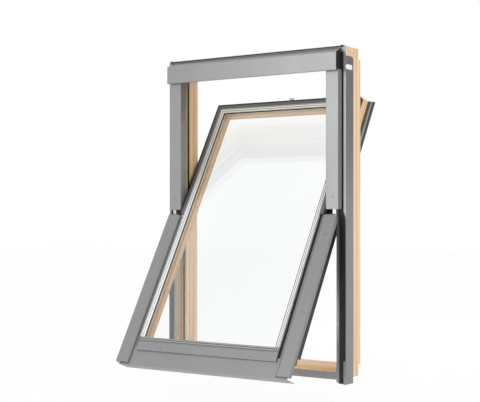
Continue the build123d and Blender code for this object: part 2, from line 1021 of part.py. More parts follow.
def bead_profile(offset_u):
    """The glazing bead's outline, with fine ribs, starting at the glass side."""
    back = glass_front - gasket_thickness
    start = (offset_u, bead_inner_front)
    end = (offset_u + bead_width, bead_outer_front)
    face = ribbed_line(start, end, (0, 1))
    return [(offset_u, back), *face, (offset_u + bead_width, back)]


def side_bead():
    """The glazing bead along one stile."""
    bead = prism_z(bead_profile(bead_inner), bead_bottom_line, bead_top_edge)
    return mitre(bead, bead_inner, bead_top_line)


def top_bead():
    """The glazing bead along the top rail."""
    points = [(y, z) for z, y in bead_profile(bead_top_line)]
    bead = prism_x(points, -bead_outer, bead_outer)
    return mitre_top(bead, bead_inner, bead_top_line)


def trim_profile(offset_u):
    """The dark ribbed trim's outline, outside the bead."""
    face = ribbed_line((offset_u, trim_front), (offset_u + trim_width, trim_front), (0, 1))
    return [(offset_u, sash_front), *face, (offset_u + trim_width, sash_front)]


def side_trim():
    """The trim along one stile, above the pivot."""
    trim = prism_z(trim_profile(bead_outer), trim_bottom, trim_top_edge)
    return mitre(trim, bead_outer, bead_top_edge)


def top_trim():
    """The trim along the top rail."""
    points = [(y, z) for z, y in trim_profile(bead_top_edge)]
    trim = prism_x(points, -trim_outer, trim_outer)
    return mitre_top(trim, bead_outer, bead_top_edge)


def edge_seal():
    """The black seal round the outer edge of the trim: both sides and the top."""
    outer = trim_outer + edge_seal_width
    top = trim_top_edge + edge_seal_width
    front = box((-outer, outer), (trim_front, sash_front), (trim_bottom, top))
    inside = box(
        (-trim_outer, trim_outer),
        (trim_front - 1, sash_front + 1),
        (trim_bottom - 1, trim_top_edge),
    )
    skin = box(
        (outer, outer + edge_seal_skin), (trim_front, edge_seal_wrap), (trim_bottom, top)
    )
    return front - inside + skin + mirror(skin, about=Plane.YZ)


def glazing_gasket():
    """The black gasket between the glass and the beads: both sides and the top."""
    front = glass_front - gasket_thickness
    outer_half = bead_outer - gasket_reveal
    outer = box(
        (-outer_half, outer_half), (front, glass_front), (bead_bottom_line, glass_top - 1)
    )
    inner_half = bead_inner - gasket_reveal
    inner = box(
        (-inner_half, inner_half),
        (front - 1, glass_front + 1),
        (bead_bottom_line - 1, bead_top_line - gasket_reveal),
    )
    return outer - inner


def gap_seal():
    """The black seal in the groove between the bead and the swinging cover."""
    return box(
        (bead_outer + side_clearance, sash_cover_inner - cover_foot - side_clearance),
        (sash_front - gap_seal_thickness, sash_front),
        (sash_bottom, trim_bottom),
    )


def bottom_profile():
    """The ribbed glazing profile along the bottom of the glass."""
    rib_face = ribbed_line(
        (bead_inner_front, bead_bottom_line), (bottom_face_front, bottom_face_top), (1, 0)
    )
    gasket_line = glass_front - gasket_thickness
    points = [
        (gasket_line, bead_bottom_line),
        *rib_face,
        (bottom_face_front, bottom_face_bottom),
        (bottom_cover_front, bottom_face_bottom),
        (bottom_cover_front, sash_bottom),
        (sash_front, sash_bottom),
        (sash_front, glass_bottom - 1),
        (gasket_line, glass_bottom - 1),
    ]
    profile = prism_x(points, -bead_outer, bead_outer)
    return screw_holes(profile, bottom_screw_places, bottom_face_front)


def bottom_cover():
    """The apron below the glass, with a deep lip folded back under the sill."""
    path = [
        (bottom_cover_front, sash_bottom - 1),
        (bottom_cover_front, bottom_cover_bottom),
        (bottom_cover_front + bottom_lip_depth, bottom_cover_bottom + bottom_lip_rise),
    ]
    outline = Plane.YZ * folded_sheet(path, cover_sheet)
    apron = extrude(outline, rebate_half, both=True)
    for sign in (-1, 1):
        near = sign * (sash_cover_inner - 2 * bend_radius)
        far = sign * frame_width
        apron = apron - box(
            (min(near, far), max(near, far)),
            (bottom_cover_front - 1, bottom_cover_front + 3),
            (bottom_face_bottom - foot_notch - side_clearance, sash_bottom),
        )
    return screw_holes(apron, bottom_screw_places, bottom_face_front)


def rear_end_cut(left, right):
    """What the sloping top end of a rear rail or seal is cut with."""
    back = sash_back + rear_rail_depth + rear_seal_depth
    return prism_x(
        [
            (sash_back - 1, horn_back_top),
            (sash_back, horn_back_top),
            (back, rear_top),
            (back + 1, rear_top),
            (back + 1, rear_top + 1),
            (sash_back - 1, rear_top + 1),
        ],
        left,
        right,
    )


def bolt_passage(left, right):
    """The clearance hole of the side bolt through the rear rail and its gasket."""
    return rod_x(side_bolt_y, side_bolt_z, side_bolt_radius + side_clearance, left, right)


def rear_rail():
    """The grooved aluminium rail along a stile's outer back edge."""
    back = sash_back + rear_rail_depth
    groove_end = sash_back + rear_groove_depth
    floor = sash_half + rear_groove_floor
    points = [
        (rear_edge - rear_rail_thickness - rear_rail_foot, sash_back),
        (rear_edge - rear_rail_thickness - rear_rail_foot, back),
        (rear_edge, back),
        (rear_edge, groove_end),
        (floor, groove_end),
        (floor, sash_back),
    ]
    rail = prism_z(points, rear_rail_bottom, rear_top)
    return rail - rear_end_cut(stile_inner, rear_edge + 1)


def rear_gasket():
    """The brown gasket in the rear rail's groove."""
    floor = sash_half + rear_groove_floor
    gasket = box(
        (floor, floor + rear_gasket_height),
        (sash_back, sash_back + rear_groove_depth),
        (rear_rail_bottom, rear_top),
    )
    return gasket - rear_end_cut(stile_inner, rear_edge + 1)


def rear_seal():
    """The dark seal behind the rail, close to the frame's inner face."""
    start = sash_back + rear_rail_depth
    end = start + rear_seal_depth
    points = [
        (rear_edge - rear_seal_width, start),
        (rear_edge - rear_seal_width, start + rear_seal_step),
        (rear_edge - rear_seal_tip, end),
        (rear_edge, end),
        (rear_edge, start),
    ]
    seal = prism_z(points, rear_rail_bottom, rear_top)
    return seal - rear_end_cut(stile_inner, rear_edge + 1)


def hinge_tongue():
    """The swinging half of the pivot: a plate on the stile with a curved tongue."""
    plate_outer = sash_half + hinge_plate_thickness
    tongue_inner = hinge_face - tongue_face_gap
    plate = box(
        (sash_half, plate_outer),
        (hinge_plate_front, hinge_plate_back),
        (pivot_z - hinge_plate_half_height, pivot_z + hinge_plate_half_height),
    )
    plate = fillet(plate.edges().filter_by(Axis.X), hinge_plate_corner)
    low = tongue_radius - tongue_thickness / 2
    high = tongue_radius + tongue_thickness / 2
    root = ring_sector(low, high, tongue_start, tongue_root_end, plate_outer, tongue_inner)
    tongue = ring_sector(
        low, high, tongue_start, tongue_end, tongue_inner, hinge_groove_end - 1
    )
    return plate + root + tongue


# Handle, flap, latch and bolt, all on the sash

def bar_brackets():
    """The two brackets that carry the control bar, each with its pin."""
    brackets = []
    for sign in (-1, 1):
        middle = sign * bracket_place
        left = middle - bracket_width / 2
        right = middle + bracket_width / 2
        base_back = sash_back + bracket_base
        foot = top_rail_line + bracket_foot
        bracket = box((left, right), (sash_back, base_back), (foot, sash_top))
        for ear_left in (left, right - bracket_wall):
            ear_right = ear_left + bracket_wall
            ear = box(
                (ear_left, ear_right),
                (base_back, bar_pivot_y),
                (bar_pivot_z - bar_hub_radius, bar_pivot_z + bar_hub_radius),
            )
            tip = rod_x(bar_pivot_y, bar_pivot_z, bar_hub_radius, ear_left, ear_right)
            bracket = bracket + ear + tip
        pin = rod_x(bar_pivot_y, bar_pivot_z, bar_pin_radius, left, right)
        brackets.append(bracket + pin)
    return Compound(children=brackets)


def control_bar():
    """The bar along the top of the sash that is pulled to open the window."""
    bar_front = bar_pivot_y + bar_stand_off
    section = Plane.YZ * (
        Pos(bar_front + bar_depth / 2, bar_pivot_z + bar_height / 2)
        * RectangleRounded(bar_depth, bar_height, bar_corner)
    )
    bar = extrude(section, bar_half, both=True)
    for sign in (-1, 1):
        middle = sign * bracket_place
        half = bracket_width / 2 - bracket_wall - side_clearance
        hub = rod_x(bar_pivot_y, bar_pivot_z, bar_hub_radius, middle - half, middle + half)
        arm = box(
            (middle - half, middle + half),
            (bar_pivot_y, bar_front + 3),
            (bar_pivot_z, bar_pivot_z + bar_hub_radius),
        )
        bar = bar + hub + arm
        bore = rod_x(
            bar_pivot_y,
            bar_pivot_z,
            bar_pin_radius + running_clearance,
            middle - half - 1,
            middle + half + 1,
        )
        bar = bar - bore
    return bar


def flap_lugs():
    """The two lugs on the top rail that carry the ventilation flap."""
    lugs = []
    for sign in (-1, 1):
        near = flap_half + side_clearance
        left = min(sign * near, sign * (near + lug_width))
        right = max(sign * near, sign * (near + lug_width))
        lug = box(
            (left, right),
            (flap_pivot_y - flap_knuckle, flap_pivot_y + flap_knuckle),
            (sash_top, flap_pivot_z + flap_knuckle),
        )
        bore = rod_x(
            flap_pivot_y,
            flap_pivot_z,
            flap_pin_radius + running_clearance,
            left - 1,
            right + 1,
        )
        lugs.append(lug - bore)
    return Compound(children=lugs)


def vent_flap():
    """The flap that shuts the air gap over the sash, on two end pins."""
    half = flap_half
    knuckle = rod_x(flap_pivot_y, flap_pivot_z, flap_knuckle, -half, half)
    pin_reach = half + side_clearance + lug_width
    pins = rod_x(flap_pivot_y, flap_pivot_z, flap_pin_radius, -pin_reach, pin_reach)
    blade = box(
        (-half, half),
        (flap_pivot_y - flap_sheet / 2, flap_pivot_y + flap_sheet / 2),
        (flap_pivot_z, flap_pivot_z + flap_height),
    )
    hem = box(
        (-half, half),
        (flap_pivot_y - flap_hem, flap_pivot_y + flap_sheet / 2),
        (flap_pivot_z + flap_height - flap_sheet, flap_pivot_z + flap_height),
    )
    return knuckle + pins + blade + hem


def latch_housing():
    """The latch's housing on the top rail, open upwards for its bolt."""
    half = latch_width / 2
    wall_half = latch_bolt_width / 2 + side_clearance
    depth_half = latch_bolt_depth / 2 + side_clearance
    body = box(
        (-half, half),
        (latch_y - depth_half - latch_wall, latch_y + depth_half + latch_wall),
        (sash_top, sash_top + latch_housing_height),
    )
    body = fillet(body.edges().filter_by(Axis.Z), latch_corner)
    well = box(
        (-wall_half, wall_half),
        (latch_y - depth_half, latch_y + depth_half),
        (sash_top + side_clearance, sash_top + latch_housing_height + 1),
    )
    return body - well


def latch_bolt():
    """The latch's bolt, with a sloping nose."""
    half = latch_bolt_width / 2
    low = sash_top + latch_travel + 2 * side_clearance
    high = low + latch_bolt_reach
    front = latch_y - latch_bolt_depth / 2
    back = latch_y + latch_bolt_depth / 2
    points = [
        (front, low),
        (back, low),
        (back, high - latch_nose),
        (front + latch_nose_depth, high),
        (front, high),
    ]
    return prism_x(points, -half, half)


def side_bolt_place():
    """The X range of the side bolt's barrel."""
    return (stile_inner + side_bolt_inset, sash_half - side_bolt_inset)


def bolt_barrel():
    """The side bolt's barrel on the right stile."""
    left, right = side_bolt_place()
    barrel = rod_x(side_bolt_y, side_bolt_z, side_bolt_barrel, left, right)
    foot = box(
        (left, right),
        (sash_back, side_bolt_y),
        (side_bolt_z - side_bolt_foot, side_bolt_z + side_bolt_foot),
    )
    bore = rod_x(
        side_bolt_y, side_bolt_z, side_bolt_radius + running_clearance, left - 1, right + 1
    )
    return barrel + foot - bore


def side_bolt():
    """The side bolt: a rod with a knob at its inner end."""
    left, right = side_bolt_place()
    knob_left = left - side_bolt_travel - knob_gap
    knob_right = knob_left + knob_length
    rod = rod_x(
        side_bolt_y, side_bolt_z, side_bolt_radius, knob_left + 1, right + side_bolt_tip
    )
    knob = rod_x(side_bolt_y, side_bolt_z, side_bolt_barrel, knob_left, knob_right)
    knob = fillet(knob.edges(), knob_round)
    return rod + knob


def bolt_sockets():
    """The holes in the right side for the side bolt, one for each angle it holds."""
    holes = []
    for angle in (0.0, vent_angle, cleaning_angle):
        y, z = swung(side_bolt_y, side_bolt_z, angle)
        holes.append(
            rod_x(y, z, bush_radius, opening_half - bush_seat, opening_half + bush_depth)
        )
    return holes


def group(shapes):
    """Several separate solids kept together as one piece of the list."""
    return Compound(children=list(shapes))


def mirrored_screws(places, face):
    """Screws at each place on the right and their mirror images on the left."""
    screws = []
    for x, z in places:
        screws.append(screw(x, z, face))
        screws.append(screw(-x, z, face))
    return screws


def frame_parts():
    """All the pieces of the fixed frame."""
    parts = {
        "frame_head": frame_head(),
        "frame_sill": frame_sill(),
        "sill_strip": sill_strip(),
        "top_casing": top_casing(),
        "head_plate": head_plate(),
        "lip_seal": lip_seal(),
        "striker_plate": striker_plate(),
    }
    paired = {
        "frame_side": frame_side(),
        "skirt": skirt(),
        "frame_cover": frame_cover(),
        "channel_seal": channel_seal(),
        "hinge_housing": hinge_housing(),
    }
    for name, shape in paired.items():
        for side, piece in both_sides(shape).items():
            parts[f"{name}_{side}"] = piece
    seals = both_sides(upper_seal())
    for hole in bolt_sockets():
        parts["frame_side_right"] = parts["frame_side_right"] - hole
        seals["right"] = seals["right"] - hole
    parts["upper_seals"] = group(seals.values())
    clip_places = shared_places(cover_clip_shares, frame_cover_bottom, frame_cover_top)
    clips = [frame_cover_clip(z) for z in clip_places]
    parts["frame_cover_clips"] = group(clips + [mirror(c, about=Plane.YZ) for c in clips])
    grouped = {
        "stop_seals": stop_seal(),
        "casing_clips": casing_clip(),
        "casing_caps": casing_cap(),
        "channel_rails": channel_rail(),
    }
    for name, shape in grouped.items():
        parts[name] = group(both_sides(shape).values())
    strip_face = wood_front - cover_sheet
    screws = mirrored_screws(frame_cover_screw_places, cover_front)
    screws += [screw(x, z, strip_face) for x, z in sill_screw_places]
    parts["frame_screws"] = group(screws)
    for x, z in sill_screw_places:
        hole = rod_y(x, z, screw_shank_radius + running_clearance, 0, screw_length + 2)
        parts["frame_sill"] = parts["frame_sill"] - hole
    return parts


def sash_parts():
    """All the pieces that swing with the sash, drawn shut."""
    stiles = both_sides(stile())
    parts = {
        "stile_left": stiles["left"],
        "stile_right": stiles["right"],
        "top_rail": top_rail(stiles),
        "bottom_rail": bottom_rail(stiles),
        "outer_pane": pane(glass_front),
        "inner_pane": pane(glass_front + pane_thickness + pane_gap),
        "spacer_bar": spacer(),
        "top_bead": top_bead(),
        "top_trim": top_trim(),
        "edge_seal": edge_seal(),
        "glazing_gasket": glazing_gasket(),
        "bottom_profile": bottom_profile(),
        "bottom_cover": bottom_cover(),
        "bar_brackets": bar_brackets(),
        "control_bar": control_bar(),
        "flap_lugs": flap_lugs(),
        "vent_flap": vent_flap(),
        "latch_housing": latch_housing(),
        "latch_bolt": latch_bolt(),
        "bolt_barrel": bolt_barrel(),
        "side_bolt": side_bolt(),
    }
    paired = {
        "side_bead": side_bead(),
        "side_trim": side_trim(),
        "sash_cover": sash_cover(),
        "rear_rail": rear_rail(),
        "hinge_tongue": hinge_tongue(),
    }
    for name, shape in paired.items():
        for side, piece in both_sides(shape).items():
            parts[f"{name}_{side}"] = piece
    passage = bolt_passage(stile_inner, rear_edge + 1)
    parts["rear_rail_right"] = parts["rear_rail_right"] - passage
    gaskets = both_sides(rear_gasket())
    gaskets["right"] = gaskets["right"] - passage
    parts["rear_gaskets"] = group(gaskets.values())
    parts["rear_seals"] = group(both_sides(rear_seal()).values())
    parts["gap_seals"] = group(both_sides(gap_seal()).values())
    parts["cover_carriers"] = group(both_sides(cover_carrier()).values())
    screws = mirrored_screws(sash_cover_screw_places, cover_front)
    screws += [screw(x, z, bottom_face_front) for x, z in bottom_screw_places]
    parts["sash_screws"] = group(screws)
    return parts


def main():
    os.makedirs("parts", exist_ok=True)
    to_origin = Pos(0, -rail_depth / 2, 0)
    to_pivot = Pos(0, pivot_y, pivot_z)
    swing = to_pivot * Rot(-open_angle, 0, 0) * to_pivot.inverse()
    for name, shape in frame_parts().items():
        export_step(to_origin * shape, f"parts/{name}.step")
    for name, shape in sash_parts().items():
        export_step(to_origin * swing * shape, f"parts/{name}.step")


main()
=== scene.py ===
"""Looks for the centre-pivot roof window: materials, ridges along the beads, and the studio.

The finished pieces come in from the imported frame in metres: X across the window, +Y into
the room, +Z up the slope. Everything made here is placed in the same frame.
"""

from math import radians

import bpy
from mathutils import Matrix, Vector


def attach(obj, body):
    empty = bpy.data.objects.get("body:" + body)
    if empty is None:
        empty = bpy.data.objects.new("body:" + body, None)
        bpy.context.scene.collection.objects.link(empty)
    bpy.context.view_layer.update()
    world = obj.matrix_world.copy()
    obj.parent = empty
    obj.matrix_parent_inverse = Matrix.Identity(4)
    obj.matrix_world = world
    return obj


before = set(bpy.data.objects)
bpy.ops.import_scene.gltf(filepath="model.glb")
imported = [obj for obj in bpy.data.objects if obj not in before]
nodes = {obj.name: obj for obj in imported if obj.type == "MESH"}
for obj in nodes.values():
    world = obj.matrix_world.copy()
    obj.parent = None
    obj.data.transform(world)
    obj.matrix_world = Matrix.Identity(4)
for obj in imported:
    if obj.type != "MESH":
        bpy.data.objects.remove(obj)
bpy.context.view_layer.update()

# Camera, level and turned, from the perspective fitted to the photo
CAMERA_PLACE = Vector((2.35, -3.485, 0.5644))
CAMERA_TURN = radians(35.0)
LEVEL = radians(90.0)
FOCAL_MM = 85.2
SENSOR_MM = 36.0
SHIFT_UP = 0.03125

# How the sash hangs, as in the part's source
PIVOT = Vector((0.0, -0.066, 0.5875))
OPEN_ANGLE = radians(30.2)
FRONT_OFFSET = 0.045

# The beads round the glass, on the shut sash: inner edge, ends and the front face's slope
BEAD_INNER = 0.283
BEAD_TOP = 1.036
BEAD_BOTTOM = 0.060
BEAD_FRONT = -0.015 - FRONT_OFFSET
BEAD_SLOPE = 3.6 / 17.0
BOTTOM_SLOPE = 1.5 / 19.0
BOTTOM_HALF_WIDTH = 0.2995

# Ridges and grooves across a bead: distance from its inner edge, width and height. A groove is a
# thin near-black strip laid on the bead as painted shade
RIDGES = ((0.0022, 0.0030, 0.0011), (0.0092, 0.0034, 0.0013))
GROOVES = ((0.0060, 0.0012, 0.0003), (0.0135, 0.0014, 0.0003))

# A strip goes this deep into its bead
STRIP_SINK = 0.0006

# A strip's rounding, as a share of its height or of half its width, whichever is less
ROUNDING = 0.8
ROUNDING_STEPS = 3
SMOOTH_ANGLE = radians(40.0)

# An edge this nearly parallel to the strip, as a cosine, runs along it
RUNS_ALONG = 0.9

# Colours, linear
PINE_PINK = (0.95, 0.64, 0.38, 1.0)
PINE_YELLOW = (0.93, 0.70, 0.42, 1.0)
PINE_RING = (0.60, 0.37, 0.19, 1.0)
PINE_STREAK = (0.30, 0.15, 0.07, 1.0)
GLUE_BROWN = (0.20, 0.10, 0.05, 1.0)
SHEET_GREY = (0.248, 0.25, 0.252, 1.0)
ALUMINIUM = (0.74, 0.74, 0.735, 1.0)
# Painted highlight: the beads' ridges are coloured lighter than the bead's aluminium
BEAD_RIDGE_HIGHLIGHT = (0.90, 0.90, 0.89, 1.0)
# Painted highlight: the bottom profile's ridges, lighter than its grey sheet
BOTTOM_RIDGE_HIGHLIGHT = (0.34, 0.342, 0.345, 1.0)
HANDLE_GREY = (0.52, 0.525, 0.53, 1.0)
CLIP_WHITE = (0.86, 0.86, 0.85, 1.0)
TRIM_GREY = (0.15, 0.152, 0.155, 1.0)
# Painted shade: near-black for the strips that stand for the shade in the beads' grooves
GROOVE_SHADE = (0.05, 0.05, 0.052, 1.0)
SEAL_BLACK = (0.008, 0.008, 0.009, 1.0)
SEAL_GREY = (0.035, 0.035, 0.037, 1.0)
PLASTIC_BLACK = (0.012, 0.012, 0.013, 1.0)
# Brown of the gasket in the rear rails' groove, which also stands as painted shade for that
# groove
GASKET_SHADE_BROWN = (0.085, 0.045, 0.025, 1.0)
SPACER_BEIGE = (0.58, 0.44, 0.30, 1.0)
ZINC = (0.45, 0.45, 0.435, 1.0)
GLASS_DEEP = (0.965, 0.975, 0.975, 1.0)
GLASS_CLEAR = (0.985, 0.99, 0.99, 1.0)
FLOOR_DEEP = (0.88, 0.88, 0.88, 1.0)
FLOOR_PALE = (0.90, 0.90, 0.90, 1.0)
WHITE = (1.0, 1.0, 1.0, 1.0)

# Metal finish: limits of the roughness, and how far each finish departs from it
METAL_ROUGHNESS = (0.36, 0.50)
SATIN = -0.08
POLISHED = -0.1
PLATED = -0.05

# Share by which dust makes a metal's tone lighter and darker
FAINT_DUST = 0.02
LIGHT_DUST = 0.03
USUAL_DUST = 0.05

# Metal's handling marks, dust clouds and fine bump: stretches, and strength with depth
MARK_STRETCH = (6.0, 6.0, 2.5)
CLOUD_STRETCH = (3.0, 3.0, 0.8)
METAL_BUMP = (0.06, 0.0002)

# Rubber and plastic: share and least amount by which the tone varies, and the bump's
# strength and depth
USUAL_GRAIN = 0.1
FAINT_GRAIN = 0.02
GRAIN_LIFT = 0.002
GRAIN_BUMP = (0.15, 0.0002)

# Glass: its refraction, and the share of the lamps that a pane's face lets through
GLASS_IOR = 1.45
LIGHT_THROUGH_GLASS = 0.92

# Glue lines of the laminated pine, as depths in the frame's own Y
GLUE_LINES = (-0.028, -0.011, 0.009, 0.033)
GLUE_HALF_WIDTH = 0.0008
GLUE_STRENGTH = 0.75

# Growth rings: the wave texture's spacing at scale 1, the wood's, and the ring's wander
WAVE_SPACING = 0.314
RING_SPACING = 0.0045
RING_WANDER = 9.0

# Stretch of the wood's patterns across the grain, and their share of it along the grain
BROAD_ACROSS = 8.0
FIBRE_ACROSS = 320.0
RING_ALONG = 0.05
FIBRE_ALONG = 0.01

# Limits between which each of the wood's patterns sets in
BROAD_LIMITS = (0.3, 1.4)
RING_LIMITS = (0.45, 1.9)
FIBRE_LIMITS = (0.56, 1.3)

# Lacquer on the pine
LACQUER_ROUGHNESS = 0.45
COAT_WEIGHT = 0.2
COAT_ROUGHNESS = 0.3
PINE_BUMP = (0.10, 0.0003)

# Studio: floor, dark screen, world and lamps
FLOOR_HEIGHT = -0.08
FLOOR_SPAN = 30.0
FLOOR_WHITE = 0.94
FLOOR_ROUGHNESS = 0.8
FLAG_PLACE = (2.3, 2.9, 1.9)
FLAG_SIZE = (2.4, 2.2)
FLAG_ROUGHNESS = 0.9
WORLD_STRENGTH = 0.85
SEEN_STRENGTH = 1.0

# Each lamp's name, place, aim, width and height, and watts
LAMPS = (
    ("front light", (-1.2, -3.4, 1.3), (0.0, 0.0, 0.6), (1.5, 2.8), 42.0),
    ("right fill", (3.2, -1.2, 1.5), (0.0, 0.0, 0.6), (1.6, 2.2), 20.0),
    ("room light", (0.2, 2.9, 0.9), (-0.2, 0.0, 0.4), (1.2, 1.8), 15.0),
)


def clear_selection():
    """Nothing selected and nothing active."""
    if bpy.context.object and bpy.context.object.mode != "OBJECT":
        bpy.ops.object.mode_set(mode="OBJECT")
    bpy.ops.object.select_all(action="DESELECT")
    bpy.context.view_layer.objects.active = None


def new_group(name, outputs, inputs=()):
    """An empty shader node group with the given sockets, and its two end nodes."""
    group = bpy.data.node_groups.new(name, "ShaderNodeTree")
    for socket, kind in inputs:
        group.interface.new_socket(name=socket, in_out="INPUT", socket_type=kind)
    for socket, kind in outputs:
        group.interface.new_socket(name=socket, in_out="OUTPUT", socket_type=kind)
    return group, group.nodes.new("NodeGroupInput"), group.nodes.new("NodeGroupOutput")


def placed(tree, group):
    """A node group put into a tree."""
    use = tree.nodes.new("ShaderNodeGroup")
    use.node_tree = group
    return use


def noise(tree, vector, scale, detail=3.0, roughness=0.5):
    """A noise texture read at a vector."""
    node = tree.nodes.new("ShaderNodeTexNoise")
    node.inputs["Scale"].default_value = scale
    node.inputs["Detail"].default_value = detail
    node.inputs["Roughness"].default_value = roughness
    tree.links.new(vector, node.inputs["Vector"])
    return node.outputs["Fac"]


def ramp(tree, factor, limits):
    """A value spread from 0 to 1 between two limits."""
    node = tree.nodes.new("ShaderNodeMapRange")
    node.inputs["From Min"].default_value = limits[0]
    node.inputs["From Max"].default_value = limits[1]
    tree.links.new(factor, node.inputs["Value"])
    return node.outputs["Result"]


def spread(tree, factor, limits):
    """A value from 0 to 1 spread between two limits."""
    node = tree.nodes.new("ShaderNodeMapRange")
    node.inputs["To Min"].default_value = limits[0]
    node.inputs["To Max"].default_value = limits[1]
    tree.links.new(factor, node.inputs["Value"])
    return node.outputs["Result"]


def mix(tree, factor, first, second):
    """A colour between two others, which are sockets or plain colours."""
    node = tree.nodes.new("ShaderNodeMix")
    node.data_type = "RGBA"
    tree.links.new(factor, node.inputs["Factor"])
    for name, value in (("A", first), ("B", second)):
        socket = [s for s in node.inputs if s.name == name and s.type == "RGBA"][0]
        if isinstance(value, tuple):
            socket.default_value = value
        else:
            tree.links.new(value, socket)
    return [s for s in node.outputs if s.type == "RGBA"][0]


def math_node(tree, operation, first, second):
    """A math node of two values, which are sockets or numbers."""
    node = tree.nodes.new("ShaderNodeMath")
    node.operation = operation
    for socket, value in zip(node.inputs, (first, second)):
        if isinstance(value, (int, float)):
            socket.default_value = value
        else:
            tree.links.new(value, socket)
    return node.outputs["Value"]


def blended(tree, factor, first, second, output):
    """Two shaders blended by a factor, on an output node."""
    blend = tree.nodes.new("ShaderNodeMixShader")
    tree.links.new(factor, blend.inputs["Fac"])
    tree.links.new(first, blend.inputs[1])
    tree.links.new(second, blend.inputs[2])
    tree.links.new(blend.outputs["Shader"], output.inputs["Surface"])


def object_place(tree):
    """Object coordinates."""
    return tree.nodes.new("ShaderNodeTexCoord").outputs["Object"]


def scaled(tree, vector, scale):
    """A vector stretched by a scale."""
    mapping = tree.nodes.new("ShaderNodeMapping")
    mapping.inputs["Scale"].default_value = scale
    tree.links.new(vector, mapping.inputs["Vector"])
    return mapping.outputs["Vector"]


def shut_place(tree, tilted):
    """Object coordinates, turned back to the shut sash for pieces that hang open."""
    turned = tree.nodes.new("ShaderNodeMapping")
    turned.vector_type = "TEXTURE"
    if tilted:
        moved = PIVOT - Matrix.Rotation(-OPEN_ANGLE, 3, "X") @ PIVOT
        turned.inputs["Location"].default_value = moved
        turned.inputs["Rotation"].default_value = (-OPEN_ANGLE, 0.0, 0.0)
    tree.links.new(object_place(tree), turned.inputs["Vector"])
    return turned.outputs["Vector"]


def material(name):
    """A new material, its node tree and its Principled shader."""
    made = bpy.data.materials.new(name)
    made.use_nodes = True
    shader = made.node_tree.nodes["Principled BSDF"]
    return made, made.node_tree, shader


def bump(tree, shader, height, strength, distance):
    """A bump on the shader from a height."""
    node = tree.nodes.new("ShaderNodeBump")
    node.inputs["Strength"].default_value = strength
    node.inputs["Distance"].default_value = distance
    tree.links.new(height, node.inputs["Height"])
    tree.links.new(node.outputs["Normal"], shader.inputs["Normal"])


def toned(color, share, lift=0.0):
    """A colour made lighter or darker by a share of itself, never above white."""
    return tuple(min(1.0, part * (1 + share) + lift) for part in color[:3]) + (1.0,)


def wear_group():
    """Handling marks and fine grain of metal: a roughness value and a bump height."""
    sockets = [("Rough", "NodeSocketFloat"), ("Height", "NodeSocketFloat")]
    group, _, out = new_group("surface wear", sockets)
    marks = noise(group, scaled(group, object_place(group), MARK_STRETCH), scale=2.0)
    fine = noise(group, object_place(group), scale=420.0, detail=2.0)
    group.links.new(spread(group, marks, METAL_ROUGHNESS), out.inputs["Rough"])
    group.links.new(fine, out.inputs["Height"])
    return group


def coated(name, color, wear, metallic, rough_shift=0.0, dust=USUAL_DUST):
    """A coated or bare metal with faint clouds of dust."""
    made, tree, shader = material(name)
    use = placed(tree, wear)
    clouds = noise(tree, scaled(tree, object_place(tree), CLOUD_STRETCH), scale=1.6)
    tone = mix(tree, clouds, toned(color, -dust), toned(color, dust))
    tree.links.new(tone, shader.inputs["Base Color"])
    rough = math_node(tree, "ADD", use.outputs["Rough"], rough_shift)
    tree.links.new(rough, shader.inputs["Roughness"])
    shader.inputs["Metallic"].default_value = metallic
    bump(tree, shader, use.outputs["Height"], *METAL_BUMP)
    return made


def bare(name, color, wear, metallic):
    """Satin aluminium with little dust."""
    return coated(name, color, wear, metallic, SATIN, LIGHT_DUST)


def grain_stretch(along, share, scale):
    """A stretch of the coordinates that makes a pattern long on the grain's axis."""
    return tuple(scale * (share if axis == along else 1.0) for axis in "XYZ")


def ring_pattern(group, place, along):
    """Growth rings round one axis."""
    rings = group.nodes.new("ShaderNodeTexWave")
    rings.wave_type = "RINGS"
    rings.rings_direction = along
    rings.inputs["Scale"].default_value = WAVE_SPACING / RING_SPACING
    rings.inputs["Distortion"].default_value = RING_WANDER
    rings.inputs["Detail"].default_value = 2.0
    rings.inputs["Detail Scale"].default_value = 0.22
    stretch = grain_stretch(along, RING_ALONG, 1.0)
    group.links.new(scaled(group, place, stretch), rings.inputs["Vector"])
    return rings.outputs["Fac"]


def layer_pattern(group, depth):
    """One on every second layer of the laminated wood, and one on the glue lines."""
    layer = None
    glue = None
    for line in GLUE_LINES:
        past = math_node(group, "GREATER_THAN", depth, line)
        layer = past if layer is None else math_node(group, "ADD", layer, past)
        offset = math_node(group, "SUBTRACT", depth, line)
        away = math_node(group, "ABSOLUTE", offset, 0.0)
        near = math_node(group, "LESS_THAN", away, GLUE_HALF_WIDTH)
        glue = near if glue is None else math_node(group, "MAXIMUM", glue, near)
    return math_node(group, "MODULO", layer, 2.0), glue


def pine_group(along):
    """Laminated pine: growth rings along one axis, tone by layer, glue lines and streaks."""
    group, given, out = new_group(
        f"pine along {along}",
        [("Color", "NodeSocketColor"), ("Height", "NodeSocketFloat")],
        [("Place", "NodeSocketVector")],
    )
    place = given.outputs["Place"]
    split = group.nodes.new("ShaderNodeSeparateXYZ")
    group.links.new(place, split.inputs["Vector"])
    rings = ring_pattern(group, place, along)
    broad_place = scaled(group, place, grain_stretch(along, RING_ALONG, BROAD_ACROSS))
    broad = noise(group, broad_place, scale=3.0, detail=2.0)
    fibre_place = scaled(group, place, grain_stretch(along, FIBRE_ALONG, FIBRE_ACROSS))
    fibre = noise(group, fibre_place, scale=2.0, detail=3.0, roughness=0.6)
    odd, glue = layer_pattern(group, split.outputs["Y"])

    base = mix(group, odd, PINE_YELLOW, PINE_PINK)
    warm = mix(group, ramp(group, broad, BROAD_LIMITS), base, PINE_RING)
    ringed = mix(group, ramp(group, rings, RING_LIMITS), warm, PINE_RING)
    veined = mix(group, ramp(group, fibre, FIBRE_LIMITS), ringed, PINE_STREAK)
    glue_share = math_node(group, "MULTIPLY", glue, GLUE_STRENGTH)
    glued = mix(group, glue_share, veined, GLUE_BROWN)
    group.links.new(glued, out.inputs["Color"])
    group.links.new(fibre, out.inputs["Height"])
    return group


